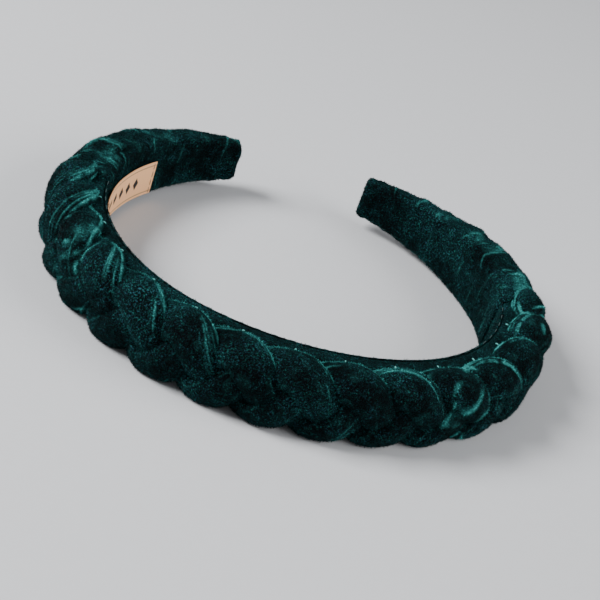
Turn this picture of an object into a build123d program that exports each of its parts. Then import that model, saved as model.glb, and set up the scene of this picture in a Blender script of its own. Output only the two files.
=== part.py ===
from build123d import *
from math import cos, radians, sin, tan
import os

# A padded hair band: a springy plastic hoop, foam padded and velvet covered, with a
# three-strand plait of stuffed velvet tubes sewn round its outer face. The hoop lies
# on its side, crown towards -Y, arm tips towards +Y, band width along Z. Sizes in mm.

# The hoop's inner face, in plan: three arcs each side of the crown.
CROWN_RADIUS = 74.0
CROWN_ANGLE = 24.0
SIDE_RADIUS = 52.0
SIDE_ANGLE = 90.0
ARM_RADIUS = 56.0
ARM_ANGLE = 49.0
CROWN_Y = -46.6  # puts the middle of the whole band over the origin

# Layers, as distances outwards from the inner face of the finished band.
VELVET = 0.7
GAP = 0.05  # clearance between neighbouring soft layers
BOND = 0.02  # clearance between glued layers
COVER_INNER = VELVET + GAP
CORE_INNER = COVER_INNER + VELVET + GAP
CORE_THICKNESS = 1.5
TAPE_INNER = CORE_INNER + CORE_THICKNESS + BOND
TAPE_THICKNESS = 0.18
FOAM_INNER = TAPE_INNER + TAPE_THICKNESS + BOND
FOAM_THICKNESS = 2.3
FOAM_TIP_THICKNESS = 0.9
COVER_OUTER = FOAM_INNER + FOAM_THICKNESS + GAP + VELVET
CAVITY_TIP_OUTER = CORE_INNER + CORE_THICKNESS + GAP

# Band widths, as half heights about the middle plane, at the crown and at the tips.
COVER_HALF = 9.4
COVER_TIP_HALF = 5.6
CORE_HALF = 7.5
CORE_TIP_HALF = 4.4
TAPE_HALF = 6.5
FOAM_HALF = 8.4
FOAM_TIP_HALF = 4.4
TAPER_START_Y = CROWN_Y + 75.0
TIP_Y = CROWN_Y + 106.0
PAST_TIP = 20.0  # how far the tapering outlines run on, beyond the tip
PAST_CROWN = 40.0

# How far round the arm's arc each layer runs, in degrees.
CORE_ARM_ANGLE = ARM_ANGLE - 2.2
COVER_ARM_ANGLE = ARM_ANGLE - 1.1
CAVITY_ARM_ANGLE = ARM_ANGLE - 2.0
ROOM_ARM_ANGLE = ARM_ANGLE - 1.0
FOAM_ARM_ANGLE = 16.0
TAPE_ARM_ANGLE = 14.0
LINING_ARM_ANGLE = 0.5

# The plait: each strand swings up and down and in and out as it runs round the hoop.
STRAND_RADIUS = 2.35
SLEEVE_WALL = 0.6
PLAIT_PERIOD = 39.6  # along the inner face
PLAIT_SWING = 7.7
PLAIT_DEPTH = 3.5
PLAIT_CENTRE = -2.7
PERIOD_TURNS = 360.0  # degrees of swing in one period
CROSSING_TURNS = 60.0  # from one crossing to the next
CROSSINGS = 14  # each side of the plait's centre
PLAIT_TURNS = CROSSINGS * CROSSING_TURNS
PLAIT_OFFSET = COVER_OUTER + GAP + PLAIT_DEPTH + STRAND_RADIUS
STRAND_BEND = 3.5
STRAND_BEND_SHARE = 0.45  # of the shorter run beside a bend, at most
STRANDS = 3
TAIL_REACHES = (101.5, 106.7, 112.0)  # from the plait's centre, under the arm wraps
TAIL_LANE = 5.15
TAIL_CLEAR = 0.75
TAIL_OFFSET = COVER_OUTER + TAIL_CLEAR + STRAND_RADIUS

# The plain velvet wraps over the arms.
WRAP_MOUTH = 94.5  # from the plait's centre
WRAP_OUTER = ((0.0, 17.8), (7.5, 14.5), (18.0, 13.5), (36.0, 9.0))  # past the mouth
WRAP_HALF = 10.0
WRAP_TIP_HALF = 6.4
WRAP_TIP_OUTER = 4.7
POCKET_OUTER = ((-1.0, 17.3), (7.5, 13.3), (18.5, 12.8))  # past the mouth
POCKET_HALF = WRAP_HALF - VELVET
POCKET_TIP_HALF = WRAP_TIP_HALF - VELVET
POCKET_FLOOR = COVER_OUTER - 1.0  # inside the covered band's own room

# Thread, label and stitches.
THREAD = 0.4
CLEAR = 0.03  # between a thread and what it lies on
BINDING_REACH = 105.0  # from the plait's centre
BINDING_TURNS = 4
BINDING_PITCH = 0.9
BINDING_CLEAR = 0.12
TACK_LENGTH = 1.9
TACK_SHARE = 0.93  # of the strand's swing, where a tack stands
LABEL_TIP_END = -127.0
LABEL_CROWN_END = -90.0
LABEL_HALF = 5.8
LABEL_THICKNESS = 0.4
LABEL_DROP = 1.8
LABEL_STITCHES = 4
LABEL_SEAM = 1.0  # from the label's ends
STITCH_LENGTH = 2.0
STITCH_PITCH = 4.6
STITCH_START = 3.0  # from an arm wrap's mouth, and from its tip
STITCH_INSET = 0.6  # from the arm wrap's lower edge
LINING_STEP = 0.7  # the lining is this much narrower than the cover at each edge
LINING_HALF = COVER_HALF - LINING_STEP
LINING_SEAM_STOP = 4.0  # from an arm wrap's mouth
LINING_SEAM_HALF = LINING_HALF + THREAD / 2 + 2 * CLEAR

MIDDLE_Z = WRAP_HALF  # the band lies on its wraps' lower edges and its lower loops
SPAN = 200.0  # past the whole band, for cutting

HOOP_ARCS = (
    (CROWN_RADIUS, CROWN_ANGLE),
    (SIDE_RADIUS, SIDE_ANGLE),
    (ARM_RADIUS, ARM_ANGLE),
)
HOOP_REACH = sum(radius * radians(angle) for radius, angle in HOOP_ARCS)
SIDE_REACH = HOOP_REACH - ARM_RADIUS * radians(ARM_ANGLE)


def hoop_plane(reach, height=0.0):
    """Plane across the band, at an arc length from the crown: X outwards, Y up, Z along."""
    side = 1 if reach >= 0 else -1
    left = abs(reach)
    turned = 0.0
    centre = Vector(0, CROWN_Y + CROWN_RADIUS)
    previous = CROWN_RADIUS
    for radius, angle in HOOP_ARCS:
        centre += Vector(sin(turned), -cos(turned)) * (previous - radius)
        previous = radius
        length = min(left, radius * radians(angle))
        turned += length / radius
        left -= length
        if left <= 0:
            break
    outwards = Vector(side * sin(turned), -cos(turned))
    origin = Vector(side * centre.X, centre.Y) + outwards * previous
    along = Vector(0, 0, 1).cross(outwards)
    return Plane(
        origin=(origin.X, origin.Y, MIDDLE_Z + height), x_dir=outwards, z_dir=along
    )


def hoop_point(reach, offset, height=0.0):
    """Point at an arc length from the crown, an offset out and a height up."""
    return hoop_plane(reach, height).from_local_coords(Vector(offset, 0, 0))


def plan_point(reach, offset):
    """The same point in plan."""
    point = hoop_point(reach, offset)
    return Vector(point.X, point.Y)


def hoop_edge(offset, arm_angle):
    """Arcs of the right half of the hoop at an offset, drawn in the open line."""
    crown = JernArc((0, CROWN_Y - offset), (1, 0), CROWN_RADIUS + offset, CROWN_ANGLE)
    side = JernArc(crown @ 1, crown % 1, SIDE_RADIUS + offset, SIDE_ANGLE)
    arm = JernArc(side @ 1, side % 1, ARM_RADIUS + offset, arm_angle)
    return arm @ 1


def tapered_edge(offset, tip_offset, arm_angle):
    """As hoop_edge, but the arm's arc closes in on the inner face towards the tip."""
    crown = JernArc((0, CROWN_Y - offset), (1, 0), CROWN_RADIUS + offset, CROWN_ANGLE)
    side = JernArc(crown @ 1, crown % 1, SIDE_RADIUS + offset, SIDE_ANGLE)
    reach = HOOP_REACH - ARM_RADIUS * radians(ARM_ANGLE - arm_angle)
    tip = plan_point(reach, tip_offset)
    TangentArc(side @ 1, tip, tangent=side % 1)
    return tip


def hoop_arc(start, end, offset):
    """Arc of the hoop between two arc lengths from the crown, in plan."""
    middle = (start + end) / 2
    return ThreePointArc(
        plan_point(start, offset), plan_point(middle, offset), plan_point(end, offset)
    )


def hoop_outline(inner, outer, tip_outer, arm_angle):
    """Closed outline of a layer of the hoop, in plan, drawn in the open line."""
    inner_tip = hoop_edge(inner, arm_angle)
    outer_tip = tapered_edge(outer, tip_outer, arm_angle)
    Line(inner_tip, outer_tip)
    mirror(about=Plane.YZ)


def width_outline(half, tip_half):
    """Outline of the band's width, seen from the side, drawn in the open line."""
    slope = (tip_half - half) / (TIP_Y - TAPER_START_Y)
    end_y = TIP_Y + PAST_TIP
    end_half = half + slope * (end_y - TAPER_START_Y)
    front_y = CROWN_Y - PAST_CROWN
    upper = Polyline((front_y, half), (TAPER_START_Y, half), (end_y, end_half))
    Line(upper @ 1, (end_y, -end_half))
    lower = Polyline((front_y, -half), (TAPER_START_Y, -half), (end_y, -end_half))
    Line(upper @ 0, lower @ 0)


PLAN = Plane.XY.offset(MIDDLE_Z)
SIDE = Plane(origin=(0, 0, MIDDLE_Z), x_dir=(0, 1, 0), z_dir=(1, 0, 0))

os.makedirs("parts", exist_ok=True)

# Plastic core: one springy strip, narrower and round-cornered at its tips.
with BuildPart() as core_band:
    with BuildSketch(PLAN):
        with BuildLine():
            hoop_outline(
                CORE_INNER,
                CORE_INNER + CORE_THICKNESS,
                CORE_INNER + CORE_THICKNESS,
                CORE_ARM_ANGLE,
            )
        make_face()
    extrude(amount=CORE_HALF, both=True)
    with BuildSketch(SIDE):
        with BuildLine():
            width_outline(CORE_HALF, CORE_TIP_HALF)
        make_face()
    extrude(amount=SPAN, both=True, mode=Mode.INTERSECT)
core_band.part.label = "core_band"
export_step(core_band.part, "parts/core_band.step")


# Double-sided tape that fixes the foam to the core.
with BuildPart() as foam_tape:
    with BuildSketch(PLAN):
        with BuildLine():
            hoop_outline(
                TAPE_INNER,
                TAPE_INNER + TAPE_THICKNESS,
                TAPE_INNER + TAPE_THICKNESS,
                TAPE_ARM_ANGLE,
            )
        make_face()
    extrude(amount=TAPE_HALF, both=True)
foam_tape.part.label = "foam_tape"
export_step(foam_tape.part, "parts/foam_tape.step")

# Foam pad on the core's outer face, skived thin at its two ends.
with BuildPart() as foam_pad:
    with BuildSketch(PLAN):
        with BuildLine():
            hoop_outline(
                FOAM_INNER,
                FOAM_INNER + FOAM_THICKNESS,
                FOAM_INNER + FOAM_TIP_THICKNESS,
                FOAM_ARM_ANGLE,
            )
        make_face()
    extrude(amount=FOAM_HALF, both=True)
    with BuildSketch(SIDE):
        with BuildLine():
            width_outline(FOAM_HALF, FOAM_TIP_HALF)
        make_face()
    extrude(amount=SPAN, both=True, mode=Mode.INTERSECT)
foam_pad.part.label = "foam_pad"
export_step(foam_pad.part, "parts/foam_pad.step")

# Velvet cover sewn round the core and foam, closed at both tips.
with BuildPart() as cover_cavity:
    with BuildSketch(PLAN):
        with BuildLine():
            hoop_outline(
                COVER_INNER + VELVET,
                COVER_OUTER - VELVET,
                CAVITY_TIP_OUTER,
                CAVITY_ARM_ANGLE,
            )
        make_face()
    extrude(amount=COVER_HALF - VELVET, both=True)
    with BuildSketch(SIDE):
        with BuildLine():
            width_outline(COVER_HALF - VELVET, COVER_TIP_HALF - VELVET)
        make_face()
    extrude(amount=SPAN, both=True, mode=Mode.INTERSECT)

with BuildPart() as band_cover:
    with BuildSketch(PLAN):
        with BuildLine():
            hoop_outline(
                COVER_INNER,
                COVER_OUTER,
                CAVITY_TIP_OUTER + VELVET,
                COVER_ARM_ANGLE,
            )
        make_face()
    extrude(amount=COVER_HALF, both=True)
    with BuildSketch(SIDE):
        with BuildLine():
            width_outline(COVER_HALF, COVER_TIP_HALF)
        make_face()
    extrude(amount=SPAN, both=True, mode=Mode.INTERSECT)
    add(cover_cavity.part, mode=Mode.SUBTRACT)
band_cover.part.label = "band_cover"
export_step(band_cover.part, "parts/band_cover.step")

# Velvet lining strip over the inner face, from the mouth of one arm wrap to the other.
with BuildPart() as inner_lining:
    with BuildSketch(PLAN):
        with BuildLine():
            hoop_outline(0, VELVET, VELVET, LINING_ARM_ANGLE)
        make_face()
    extrude(amount=LINING_HALF, both=True)
    for side in (-1, 1):
        mouth = PLAIT_CENTRE + side * (WRAP_MOUTH - GAP)
        with BuildSketch(hoop_plane(mouth)):
            Rectangle(PAST_TIP, SPAN)
        extrude(amount=side * (HOOP_REACH - WRAP_MOUTH), mode=Mode.SUBTRACT)
inner_lining.part.label = "inner_lining"
export_step(inner_lining.part, "parts/inner_lining.step")


def strand_route(order):
    """Corner points of one strand: a tail, the plait's crossings, and the other tail."""
    phase = CROSSING_TURNS + order * PERIOD_TURNS / STRANDS
    turns = [-PLAIT_TURNS]
    turns += [(step + 0.5) * CROSSING_TURNS for step in range(-CROSSINGS, CROSSINGS)]
    turns += [PLAIT_TURNS]
    points = []
    for turn in turns:
        swing = radians(phase - turn)
        points.append(
            hoop_point(
                PLAIT_CENTRE + turn / PERIOD_TURNS * PLAIT_PERIOD,
                PLAIT_OFFSET + PLAIT_DEPTH * sin(2 * swing),
                PLAIT_SWING * sin(swing),
            )
        )
    for side in (-1, 1):
        swing = radians(phase - side * PLAIT_TURNS)
        lane = round(sin(swing)) * TAIL_LANE
        tail = [
            hoop_point(PLAIT_CENTRE + side * reach, TAIL_OFFSET, lane) for reach in TAIL_REACHES
        ]
        points = points + tail if side > 0 else tail[::-1] + points
    return points


def bend_radii(points):
    """Fillet radius at each corner: the strand's own bend, or less where runs are short."""
    radii = []
    for before, corner, after in zip(points, points[1:], points[2:]):
        first, second = corner - before, after - corner
        half_turn = radians(first.get_angle(second)) / 2
        shorter = min(first.length, second.length)
        radii.append(min(STRAND_BEND, STRAND_BEND_SHARE * shorter / tan(half_turn)))
    return radii


# The plait: three velvet sleeves, each stuffed with a soft filling.
for order in range(STRANDS):
    route = strand_route(order)
    with BuildPart() as strand_sleeve:
        with BuildLine() as sleeve_line:
            FilletPolyline(*route, radius=bend_radii(route))
        path = sleeve_line.wires()[0]
        with BuildSketch(Plane(origin=path @ 0, z_dir=path % 0)):
            Circle(STRAND_RADIUS)
            Circle(STRAND_RADIUS - SLEEVE_WALL, mode=Mode.SUBTRACT)
        sweep(path=path)
    strand_sleeve.part.label = f"strand_sleeve_{order + 1}"
    export_step(strand_sleeve.part, f"parts/strand_sleeve_{order + 1}.step")

    with BuildPart() as strand_filling:
        with BuildSketch(Plane(origin=path @ 0, z_dir=path % 0)):
            Circle(STRAND_RADIUS - SLEEVE_WALL - GAP)
        sweep(path=path)
    strand_filling.part.label = f"strand_filling_{order + 1}"
    export_step(strand_filling.part, f"parts/strand_filling_{order + 1}.step")


# Thread whipped round the three flat tails at each end of the plait.
for side, name in ((-1, "tail_binding_left"), (1, "tail_binding_right")):
    with BuildPart() as tail_binding:
        for turn in range(BINDING_TURNS):
            reach = PLAIT_CENTRE + side * (BINDING_REACH + turn * BINDING_PITCH)
            thick = 2 * (STRAND_RADIUS + BINDING_CLEAR)
            wide = thick + 2 * TAIL_LANE
            with BuildSketch(hoop_plane(reach)):
                with Locations((TAIL_OFFSET, 0)):
                    RectangleRounded(thick + 2 * THREAD, wide + 2 * THREAD, thick / 2)
                    RectangleRounded(thick, wide, thick / 2 - THREAD, mode=Mode.SUBTRACT)
            extrude(amount=THREAD)
    tail_binding.part.label = name
    export_step(tail_binding.part, f"parts/{name}.step")

# Tacks: a short thread from the cover to the strand at each edge loop of the plait.
with BuildPart() as plait_tacks:
    for step in range(-CROSSINGS, CROSSINGS):
        turn = (step + 0.5) * CROSSING_TURNS
        reach = PLAIT_CENTRE + turn / PERIOD_TURNS * PLAIT_PERIOD
        height = PLAIT_SWING * TACK_SHARE * (1 if step % 2 else -1)
        section = hoop_plane(reach, height)
        foot = section.from_local_coords(Vector(COVER_OUTER + CLEAR, 0, 0))
        with BuildSketch(Plane(origin=foot, z_dir=section.x_dir)):
            Circle(THREAD / 2)
        extrude(amount=TACK_LENGTH)
plait_tacks.part.label = "plait_tacks"
export_step(plait_tacks.part, "parts/plait_tacks.step")

# Room inside the arm wraps for the covered band.
with BuildPart() as band_room:
    with BuildSketch(PLAN):
        with BuildLine():
            hoop_outline(
                VELVET,
                COVER_OUTER + GAP,
                CAVITY_TIP_OUTER + VELVET + GAP,
                ROOM_ARM_ANGLE,
            )
        make_face()
    extrude(amount=COVER_HALF + GAP, both=True)
    with BuildSketch(SIDE):
        with BuildLine():
            width_outline(COVER_HALF + GAP, COVER_TIP_HALF + GAP)
        make_face()
    extrude(amount=SPAN, both=True, mode=Mode.INTERSECT)

# Velvet wrap over each arm: it hides the tails and is closed at the tip.
for side, name in ((-1, "arm_wrap_left"), (1, "arm_wrap_right")):
    mouth = PLAIT_CENTRE + side * WRAP_MOUTH
    tip = side * HOOP_REACH
    with BuildPart() as tail_room:
        with BuildSketch(PLAN):
            with BuildLine():
                roof = Spline([plan_point(mouth + side * past, out) for past, out in POCKET_OUTER])
                starts = mouth + side * POCKET_OUTER[0][0]
                ends = mouth + side * POCKET_OUTER[-1][0]
                floor = hoop_arc(starts, ends, POCKET_FLOOR)
                Line(floor @ 0, roof @ 0)
                Line(floor @ 1, roof @ 1)
            make_face()
        extrude(amount=POCKET_HALF, both=True)
        with BuildSketch(SIDE):
            with BuildLine():
                width_outline(POCKET_HALF, POCKET_TIP_HALF)
            make_face()
        extrude(amount=SPAN, both=True, mode=Mode.INTERSECT)

    with BuildPart() as arm_wrap:
        with BuildSketch(PLAN):
            with BuildLine():
                first = hoop_arc(mouth, side * SIDE_REACH, 0)
                second = hoop_arc(side * SIDE_REACH, tip, 0)
                outside = [plan_point(mouth + side * past, out) for past, out in WRAP_OUTER]
                outside.append(plan_point(tip, WRAP_TIP_OUTER))
                back = Spline(*outside)
                Line(first @ 0, back @ 0)
                Line(second @ 1, back @ 1)
            make_face()
        extrude(amount=WRAP_HALF, both=True)
        with BuildSketch(SIDE):
            with BuildLine():
                width_outline(WRAP_HALF, WRAP_TIP_HALF)
            make_face()
        extrude(amount=SPAN, both=True, mode=Mode.INTERSECT)
        add([band_room.part, tail_room.part], mode=Mode.SUBTRACT)
    arm_wrap.part.label = name
    export_step(arm_wrap.part, f"parts/{name}.step")


def wrap_half_at(reach):
    """Half width of an arm wrap at an arc length from the crown."""
    past = max(0.0, hoop_point(reach, 0).Y - TAPER_START_Y)
    return WRAP_HALF + (WRAP_TIP_HALF - WRAP_HALF) * past / (TIP_Y - TAPER_START_Y)


def stitch_place(reach, height, offset):
    """Where one stitch lies along the band: its middle, with Z along the band."""
    section = hoop_plane(reach, height)
    middle = section.from_local_coords(Vector(offset, 0, 0))
    return Plane(origin=middle, x_dir=section.x_dir, z_dir=section.z_dir)


# Slip stitches that close each arm wrap along the lower edge of its inner face.
for side, name in ((-1, "wrap_stitches_left"), (1, "wrap_stitches_right")):
    mouth = PLAIT_CENTRE + side * WRAP_MOUTH
    count = int((HOOP_REACH - abs(mouth) - 2 * STITCH_START) / STITCH_PITCH)
    places = []
    for number in range(count):
        reach = mouth + side * (STITCH_START + number * STITCH_PITCH)
        height = STITCH_INSET - wrap_half_at(reach)
        places.append(stitch_place(reach, height, -THREAD / 2 - CLEAR))
    with BuildPart() as wrap_stitches:
        with Locations(*places):
            Cylinder(THREAD / 2, STITCH_LENGTH)
    wrap_stitches.part.label = name
    export_step(wrap_stitches.part, f"parts/{name}.step")

# Slip stitches along both edges of the lining, in the step down to the cover.
count = int(2 * (WRAP_MOUTH - LINING_SEAM_STOP) / STITCH_PITCH)
places = []
for number in range(count + 1):
    reach = PLAIT_CENTRE + (number - count / 2) * STITCH_PITCH
    for height in (-LINING_SEAM_HALF, LINING_SEAM_HALF):
        places.append(stitch_place(reach, height, COVER_INNER - THREAD / 2 - CLEAR))
with BuildPart() as lining_stitches:
    with Locations(*places):
        Cylinder(THREAD / 2, STITCH_LENGTH)
lining_stitches.part.label = "lining_stitches"
export_step(lining_stitches.part, "parts/lining_stitches.step")

# Woven label sewn flat on the inner face of the left arm.
with BuildPart() as woven_label:
    with BuildSketch(PLAN.offset(-LABEL_DROP)):
        with BuildLine():
            for offset in (-CLEAR, -CLEAR - LABEL_THICKNESS):
                hoop_arc(LABEL_TIP_END, -SIDE_REACH, offset)
                hoop_arc(-SIDE_REACH, LABEL_CROWN_END, offset)
            for end in (LABEL_TIP_END, LABEL_CROWN_END):
                Line(plan_point(end, -CLEAR), plan_point(end, -CLEAR - LABEL_THICKNESS))
        make_face()
    extrude(amount=LABEL_HALF, both=True)
woven_label.part.label = "woven_label"
export_step(woven_label.part, "parts/woven_label.step")

# Upright stitches across the label's two ends.
with BuildPart() as label_stitches:
    pitch = 2 * LABEL_HALF / LABEL_STITCHES
    for end in (LABEL_TIP_END + LABEL_SEAM, LABEL_CROWN_END - LABEL_SEAM):
        for number in range(LABEL_STITCHES):
            height = -LABEL_DROP - LABEL_HALF + (number + 0.5) * pitch
            with BuildSketch(PLAN.offset(height)):
                with Locations(plan_point(end, -LABEL_THICKNESS - 2 * CLEAR - THREAD / 2)):
                    Circle(THREAD / 2)
            extrude(amount=STITCH_LENGTH / 2, both=True)
label_stitches.part.label = "label_stitches"
export_step(label_stitches.part, "parts/label_stitches.step")
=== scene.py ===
from math import cos, pi, radians, sin

import bpy
import numpy as np
from mathutils import Matrix, Vector, noise


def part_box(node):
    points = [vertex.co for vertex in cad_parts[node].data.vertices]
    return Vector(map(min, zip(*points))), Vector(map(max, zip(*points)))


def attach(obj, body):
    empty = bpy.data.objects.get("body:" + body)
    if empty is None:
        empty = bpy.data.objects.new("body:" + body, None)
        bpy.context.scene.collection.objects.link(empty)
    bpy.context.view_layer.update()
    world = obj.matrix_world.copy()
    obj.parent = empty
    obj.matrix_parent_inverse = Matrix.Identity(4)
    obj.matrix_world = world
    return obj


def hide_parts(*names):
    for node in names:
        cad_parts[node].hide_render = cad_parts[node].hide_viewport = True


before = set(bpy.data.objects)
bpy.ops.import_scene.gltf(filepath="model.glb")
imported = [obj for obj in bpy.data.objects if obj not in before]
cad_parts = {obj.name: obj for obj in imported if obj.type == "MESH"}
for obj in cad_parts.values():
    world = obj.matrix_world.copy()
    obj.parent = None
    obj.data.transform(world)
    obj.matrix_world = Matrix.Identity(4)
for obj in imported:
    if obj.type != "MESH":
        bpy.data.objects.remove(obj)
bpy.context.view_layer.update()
MM = 0.001


# ---- Core band ----
# One springy strip of moulded plastic runs from arm tip to arm tip and gives the band its
# grip. It was moulded flat and heat formed, so its faces carry a faint lengthwise flow.

class Wire:
    """An output of a node. Arithmetic on it adds Math nodes."""

    def __init__(self, graph, socket):
        self.graph = graph
        self.socket = socket

    def __add__(self, other):
        return self.graph.maths("ADD", self, other)

    def __radd__(self, other):
        return self.graph.maths("ADD", other, self)

    def __sub__(self, other):
        return self.graph.maths("SUBTRACT", self, other)

    def __rsub__(self, other):
        return self.graph.maths("SUBTRACT", other, self)

    def __mul__(self, other):
        return self.graph.maths("MULTIPLY", self, other)

    def __rmul__(self, other):
        return self.graph.maths("MULTIPLY", other, self)


class Graph:
    """A node tree under construction."""

    def __init__(self, tree):
        self.tree = tree

    def fill(self, socket, value):
        """Links a wire to a socket, or sets the socket's own value."""
        if isinstance(value, Wire):
            self.tree.links.new(value.socket, socket)
        else:
            socket.default_value = value

    def add(self, kind, settings=None, sockets=None, output=0):
        """A new node: its settings first, then its sockets' values or wires."""
        node = self.tree.nodes.new(kind)
        for name, value in (settings or {}).items():
            if name == "stops":
                ramp = node.color_ramp.elements
                while len(ramp) < len(value):
                    ramp.new(1.0)
                for stop, (position, colour) in zip(ramp, value):
                    stop.position = position
                    stop.color = colour
            else:
                setattr(node, name, value)
        for name, value in (sockets or {}).items():
            self.fill(node.inputs[name], value)
        return Wire(self, node.outputs[output])

    def maths(self, operation, first, second=0):
        return self.add("ShaderNodeMath", {"operation": operation}, {0: first, 1: second})


class Recipe(Graph):
    """A material's nodes, and the constants of its shader."""

    def __init__(self, name, constants):
        self.material = bpy.data.materials.new(name)
        self.material.use_nodes = True
        super().__init__(self.material.node_tree)
        self.shader = self.tree.nodes["Principled BSDF"]
        for socket, value in constants.items():
            self.shader.inputs[socket].default_value = value

    def place(self, stretch=(1, 1, 1)):
        """Where a point is on the object, with each direction stretched."""
        where = self.add("ShaderNodeTexCoord", output="Object")
        return self.add("ShaderNodeMapping", {}, {"Vector": where, "Scale": stretch})

    def noise(self, where, scale, detail=2.0, roughness=0.5):
        sockets = {"Vector": where, "Scale": scale, "Detail": detail, "Roughness": roughness}
        return self.add("ShaderNodeTexNoise", {}, sockets)

    def ramp(self, value, *stops):
        """Black to white over a value, through (place, grey) stops."""
        colours = [(place, (grey, grey, grey, 1)) for place, grey in stops]
        return self.add("ShaderNodeValToRGB", {"stops": colours}, {"Fac": value})

    def noted(self, name):
        """A number that was noted on the piece's points."""
        return self.add("ShaderNodeAttribute", {"attribute_name": name}, output="Fac")

    def blend(self, factor, first, second):
        """Colours mixed by a factor from the first, at 0, to the second, at 1."""
        sockets = {0: factor, 6: first, 7: second}
        return self.add("ShaderNodeMix", {"data_type": "RGBA"}, sockets, output=2)

    def relief(self, height, distance):
        """A bump whose full height is a distance in metres."""
        self.surface("Normal", self.add("ShaderNodeBump", {}, {"Height": height, "Distance": distance}))

    def surface(self, socket, value):
        self.fill(self.shader.inputs[socket], value)


PLASTIC_BLACK = (0.025, 0.026, 0.028, 1)
PLASTIC_GREY = (0.05, 0.052, 0.056, 1)


def plastic_finish():
    """Near black, a little greyer and duller along the flow marks."""
    plastic = Recipe("moulded_plastic", {"Specular IOR Level": 0.45})
    flow = plastic.noise(plastic.place(stretch=(1, 1, 8)), scale=90.0, detail=4.0)
    specks = plastic.noise(plastic.place(), scale=1500.0)
    plastic.surface("Base Color", plastic.blend(flow, PLASTIC_BLACK, PLASTIC_GREY))
    plastic.surface("Roughness", 0.32 + 0.2 * flow)
    plastic.relief(flow + 0.3 * specks, distance=0.05 * MM)
    return plastic.material


def dress(node, material):
    """Gives a CAD node, kept as it is, its finish."""
    node.data.materials.clear()
    node.data.materials.append(material)


dress(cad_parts["core_band"], plastic_finish())


# ---- Foam tape ----
# A thin double-sided tape holds the foam to the core: a fine woven backing with a slightly
# glossy adhesive soaked through it.

TAPE_SOAKED = (0.62, 0.58, 0.47, 1)
TAPE_DRY = (0.78, 0.75, 0.66, 1)


def tape_finish():
    """Amber and glossy where the adhesive came through, paler and duller elsewhere."""
    tape = Recipe("adhesive_tape", {"Specular IOR Level": 0.4})
    where = tape.place()
    threads = tape.add("ShaderNodeTexWave", {"bands_direction": "Z"}, {"Vector": where, "Scale": 700.0})
    dry = tape.noise(where, scale=160.0, detail=3.0)
    tape.surface("Base Color", tape.blend(dry, TAPE_SOAKED, TAPE_DRY))
    tape.surface("Roughness", 0.3 + 0.35 * dry)
    tape.relief(threads, distance=0.04 * MM)
    return tape.material


dress(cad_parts["foam_tape"], tape_finish())


# ---- Foam pad ----
# A strip of soft open-cell foam over the core's outer face fills the band out. Its long
# edges are rounded by the cover pulled over them, and its ends are skived thin.

LINING_THICKNESS = 0.7 * MM
CROWN_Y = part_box("inner_lining")[0].y + LINING_THICKNESS
MIDDLE_Z = (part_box("band_cover")[0].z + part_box("band_cover")[1].z) / 2
HOOP_ARCS = ((74 * MM, 24), (52 * MM, 90), (56 * MM, 49))  # radius and degrees: crown, side, arm
HOOP_REACH = sum(radius * radians(degrees) for radius, degrees in HOOP_ARCS)
TAPER_START_Y = CROWN_Y + 75 * MM
TIP_Y = CROWN_Y + 106 * MM


def hoop(reach):
    """The hoop's inner face at arc lengths from the crown: points, and directions outwards."""
    left = np.abs(np.asarray(reach, float))
    side = np.where(np.asarray(reach) < 0, -1.0, 1.0)
    across = np.zeros_like(left)
    deep = np.full_like(left, CROWN_Y)
    heading = np.zeros_like(left)
    for radius, degrees in HOOP_ARCS:
        turned = np.clip(left / radius, 0, radians(degrees))
        across += radius * (np.sin(heading + turned) - np.sin(heading))
        deep += radius * (np.cos(heading) - np.cos(heading + turned))
        heading += turned
        left = left - radius * turned
    across += left * np.cos(heading)
    deep += left * np.sin(heading)
    outwards = np.stack([side * np.sin(heading), -np.cos(heading), 0 * heading], -1)
    points = np.stack([side * across, deep, 0 * deep + MIDDLE_Z], -1)
    return points, outwards


def on_hoop(reach, offset, height):
    """Points at arc lengths from the crown, offsets outwards and heights up."""
    reach, offset, height = np.broadcast_arrays(reach, offset, height)
    points, outwards = hoop(reach)
    return points + outwards * offset[..., None] + np.array([0, 0, 1.0]) * height[..., None]


def tapered(reach, whole, at_tip):
    """A half width that narrows in a straight line down the arms."""
    y = hoop(reach)[0][..., 1]
    share = np.clip((y - TAPER_START_Y) / (TIP_Y - TAPER_START_Y), 0, None)
    return whole + (at_tip - whole) * share


def skin(name, rings, material):
    """A closed smooth mesh through rings of points, stations first, with a point at each end."""
    stations, around = rings.shape[:2]
    verts = rings.reshape(-1, 3).tolist()
    verts += [rings[0].mean(0).tolist(), rings[-1].mean(0).tolist()]
    first, last = stations * around, stations * around + 1
    faces = []
    for station in range(stations - 1):
        row = station * around
        for spot in range(around):
            beside = (spot + 1) % around
            faces.append((row + spot, row + beside, row + around + beside, row + around + spot))
    row = (stations - 1) * around
    for spot in range(around):
        beside = (spot + 1) % around
        faces.append((first, beside, spot))
        faces.append((last, row + spot, row + beside))
    low = rings[:-1]
    spokes = low - low.mean(1, keepdims=True)
    facing = np.cross(np.roll(low, -1, axis=1) - low, rings[1:] - low)
    if np.sum(facing * spokes) < 0:  # the faces would point inwards
        faces = [face[::-1] for face in faces]
    mesh = bpy.data.meshes.new(name)
    mesh.from_pydata(verts, [], faces)
    mesh.polygons.foreach_set("use_smooth", [True] * len(faces))
    mesh.materials.append(material)
    piece = bpy.data.objects.new(name, mesh)
    bpy.context.scene.collection.objects.link(piece)
    return piece


def note(piece, name, values):
    """Writes one number for each point of a piece, for its material. The two end points get 0."""
    attribute = piece.data.attributes.new(name, "FLOAT", "POINT")
    filled = np.zeros(len(piece.data.vertices), np.float32)
    filled[: values.size] = values.ravel()
    attribute.data.foreach_set("value", filled)


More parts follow.
